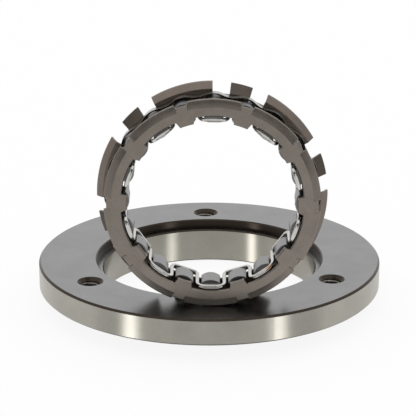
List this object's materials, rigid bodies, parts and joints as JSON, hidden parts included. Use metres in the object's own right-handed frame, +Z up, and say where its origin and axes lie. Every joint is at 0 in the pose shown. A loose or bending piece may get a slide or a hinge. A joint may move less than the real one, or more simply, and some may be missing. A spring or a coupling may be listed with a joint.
{
  "type": "sprag clutch",
  "caption": "Flanged bored race with tapped holes, and a loose caged ring of rocking sprags that grips a shaft turning one way and lets it slip the other.",
  "frame": {"origin": "centre of the race's bore in the plane of the hub's lower face, on which the part lies", "axes": "+Z up along the race's bore, from the hub to the counterbored face; +Y from the front plate of the standing sprag ring towards its rear rim; +X to the right seen from the front"},
  "size_m": [0.12, 0.12, 0.0889],
  "materials": {
    "race_steel": "ground, satin top face",
    "cage_steel": "phosphated sheet steel, satin",
    "plate_steel": "phosphated sheet steel, satin",
    "wave_steel": "bright rolled spring strip",
    "strip_steel": "polished stainless strip",
    "sprag_steel": "hardened, fine matte"
  },
  "bodies": {
    "race": {"race": "race_steel"},
    "sprag_ring": {"outer_cage": "cage_steel", "front_plate": "plate_steel", "wave_spring": "wave_steel"},
    "inner_cage": {"inner_cage": "strip_steel"},
    "sprag_01": {"sprag_01": "sprag_steel"},
    "sprag_02": {"sprag_02": "sprag_steel"},
    "sprag_03": {"sprag_03": "sprag_steel"},
    "sprag_04": {"sprag_04": "sprag_steel"},
    "sprag_05": {"sprag_05": "sprag_steel"},
    "sprag_06": {"sprag_06": "sprag_steel"},
    "sprag_07": {"sprag_07": "sprag_steel"},
    "sprag_08": {"sprag_08": "sprag_steel"},
    "sprag_09": {"sprag_09": "sprag_steel"},
    "sprag_10": {"sprag_10": "sprag_steel"},
    "sprag_11": {"sprag_11": "sprag_steel"},
    "sprag_12": {"sprag_12": "sprag_steel"},
    "sprag_13": {"sprag_13": "sprag_steel"},
    "sprag_14": {"sprag_14": "sprag_steel"},
    "sprag_15": {"sprag_15": "sprag_steel"},
    "sprag_16": {"sprag_16": "sprag_steel"},
    "sprag_17": {"sprag_17": "sprag_steel"},
    "sprag_18": {"sprag_18": "sprag_steel"},
    "sprag_19": {"sprag_19": "sprag_steel"},
    "sprag_20": {"sprag_20": "sprag_steel"}
  },
  "joints": [
    {"name": "ring_lift", "type": "slide", "parent": "race", "child": "sprag_ring", "axis": [0, 0, 1], "range_m": [0, 0.06]},
    {"name": "inner_cage_turn", "type": "hinge", "parent": "sprag_ring", "child": "inner_cage", "pos_m": [0.001, -0.04273, 0.0508], "axis": [0, 1, 0], "range_deg": [-0.7, 0.7]},
    {"name": "sprag_01_rock", "type": "hinge", "parent": "sprag_ring", "child": "sprag_01", "pos_m": [0.00155, -0.04228, 0.0821], "axis": [0, 1, 0], "range_deg": [-8, 8]},
    {"name": "sprag_02_rock", "type": "hinge", "parent": "sprag_ring", "child": "sprag_02", "pos_m": [0.01119, -0.04228, 0.08039], "axis": [0, 1, 0], "range_deg": [-8, 8]},
    {"name": "sprag_03_rock", "type": "hinge", "parent": "sprag_ring", "child": "sprag_03", "pos_m": [0.01984, -0.04228, 0.0758], "axis": [0, 1, 0], "range_deg": [-8, 8]},
    {"name": "sprag_04_rock", "type": "hinge", "parent": "sprag_ring", "child": "sprag_04", "pos_m": [0.02664, -0.04228, 0.06875], "axis": [0, 1, 0], "range_deg": [-8, 8]},
    {"name": "sprag_05_rock", "type": "hinge", "parent": "sprag_ring", "child": "sprag_05", "pos_m": [0.03093, -0.04228, 0.05995], "axis": [0, 1, 0], "range_deg": [-8, 8]},
    {"name": "sprag_06_rock", "type": "hinge", "parent": "sprag_ring", "child": "sprag_06", "pos_m": [0.03229, -0.04228, 0.05025], "axis": [0, 1, 0], "range_deg": [-8, 8]},
    {"name": "sprag_07_rock", "type": "hinge", "parent": "sprag_ring", "child": "sprag_07", "pos_m": [0.0306, -0.04228, 0.04061], "axis": [0, 1, 0], "range_deg": [-8, 8]},
    {"name": "sprag_08_rock", "type": "hinge", "parent": "sprag_ring", "child": "sprag_08", "pos_m": [0.026, -0.04228, 0.03196], "axis": [0, 1, 0], "range_deg": [-8, 8]},
    {"name": "sprag_09_rock", "type": "hinge", "parent": "sprag_ring", "child": "sprag_09", "pos_m": [0.01895, -0.04228, 0.02516], "axis": [0, 1, 0], "range_deg": [-8, 8]},
    {"name": "sprag_10_rock", "type": "hinge", "parent": "sprag_ring", "child": "sprag_10", "pos_m": [0.01015, -0.04228, 0.02087], "axis": [0, 1, 0], "range_deg": [-8, 8]},
    {"name": "sprag_11_rock", "type": "hinge", "parent": "sprag_ring", "child": "sprag_11", "pos_m": [0.00045, -0.04228, 0.01951], "axis": [0, 1, 0], "range_deg": [-8, 8]},
    {"name": "sprag_12_rock", "type": "hinge", "parent": "sprag_ring", "child": "sprag_12", "pos_m": [-0.00919, -0.04228, 0.02121], "axis": [0, 1, 0], "range_deg": [-8, 8]},
    {"name": "sprag_13_rock", "type": "hinge", "parent": "sprag_ring", "child": "sprag_13", "pos_m": [-0.01784, -0.04228, 0.0258], "axis": [0, 1, 0], "range_deg": [-8, 8]},
    {"name": "sprag_14_rock", "type": "hinge", "parent": "sprag_ring", "child": "sprag_14", "pos_m": [-0.02464, -0.04228, 0.03285], "axis": [0, 1, 0], "range_deg": [-8, 8]},
    {"name": "sprag_15_rock", "type": "hinge", "parent": "sprag_ring", "child": "sprag_15", "pos_m": [-0.02893, -0.04228, 0.04165], "axis": [0, 1, 0], "range_deg": [-8, 8]},
    {"name": "sprag_16_rock", "type": "hinge", "parent": "sprag_ring", "child": "sprag_16", "pos_m": [-0.03029, -0.04228, 0.05135], "axis": [0, 1, 0], "range_deg": [-8, 8]},
    {"name": "sprag_17_rock", "type": "hinge", "parent": "sprag_ring", "child": "sprag_17", "pos_m": [-0.02859, -0.04228, 0.06099], "axis": [0, 1, 0], "range_deg": [-8, 8]},
    {"name": "sprag_18_rock", "type": "hinge", "parent": "sprag_ring", "child": "sprag_18", "pos_m": [-0.024, -0.04228, 0.06964], "axis": [0, 1, 0], "range_deg": [-8, 8]},
    {"name": "sprag_19_rock", "type": "hinge", "parent": "sprag_ring", "child": "sprag_19", "pos_m": [-0.01695, -0.04228, 0.07644], "axis": [0, 1, 0], "range_deg": [-8, 8]},
    {"name": "sprag_20_rock", "type": "hinge", "parent": "sprag_ring", "child": "sprag_20", "pos_m": [-0.00815, -0.04228, 0.08073], "axis": [0, 1, 0], "range_deg": [-8, 8]}
  ],
  "couplings": [
    {"joint": "sprag_01_rock", "follows": "inner_cage_turn", "ratio": -11.275},
    {"joint": "sprag_02_rock", "follows": "inner_cage_turn", "ratio": -11.275},
    {"joint": "sprag_03_rock", "follows": "inner_cage_turn", "ratio": -11.275},
    {"joint": "sprag_04_rock", "follows": "inner_cage_turn", "ratio": -11.275},
    {"joint": "sprag_05_rock", "follows": "inner_cage_turn", "ratio": -11.275},
    {"joint": "sprag_06_rock", "follows": "inner_cage_turn", "ratio": -11.275},
    {"joint": "sprag_07_rock", "follows": "inner_cage_turn", "ratio": -11.275},
    {"joint": "sprag_08_rock", "follows": "inner_cage_turn", "ratio": -11.275},
    {"joint": "sprag_09_rock", "follows": "inner_cage_turn", "ratio": -11.275},
    {"joint": "sprag_10_rock", "follows": "inner_cage_turn", "ratio": -11.275},
    {"joint": "sprag_11_rock", "follows": "inner_cage_turn", "ratio": -11.275},
    {"joint": "sprag_12_rock", "follows": "inner_cage_turn", "ratio": -11.275},
    {"joint": "sprag_13_rock", "follows": "inner_cage_turn", "ratio": -11.275},
    {"joint": "sprag_14_rock", "follows": "inner_cage_turn", "ratio": -11.275},
    {"joint": "sprag_15_rock", "follows": "inner_cage_turn", "ratio": -11.275},
    {"joint": "sprag_16_rock", "follows": "inner_cage_turn", "ratio": -11.275},
    {"joint": "sprag_17_rock", "follows": "inner_cage_turn", "ratio": -11.275},
    {"joint": "sprag_18_rock", "follows": "inner_cage_turn", "ratio": -11.275},
    {"joint": "sprag_19_rock", "follows": "inner_cage_turn", "ratio": -11.275},
    {"joint": "sprag_20_rock", "follows": "inner_cage_turn", "ratio": -11.275}
  ]
}
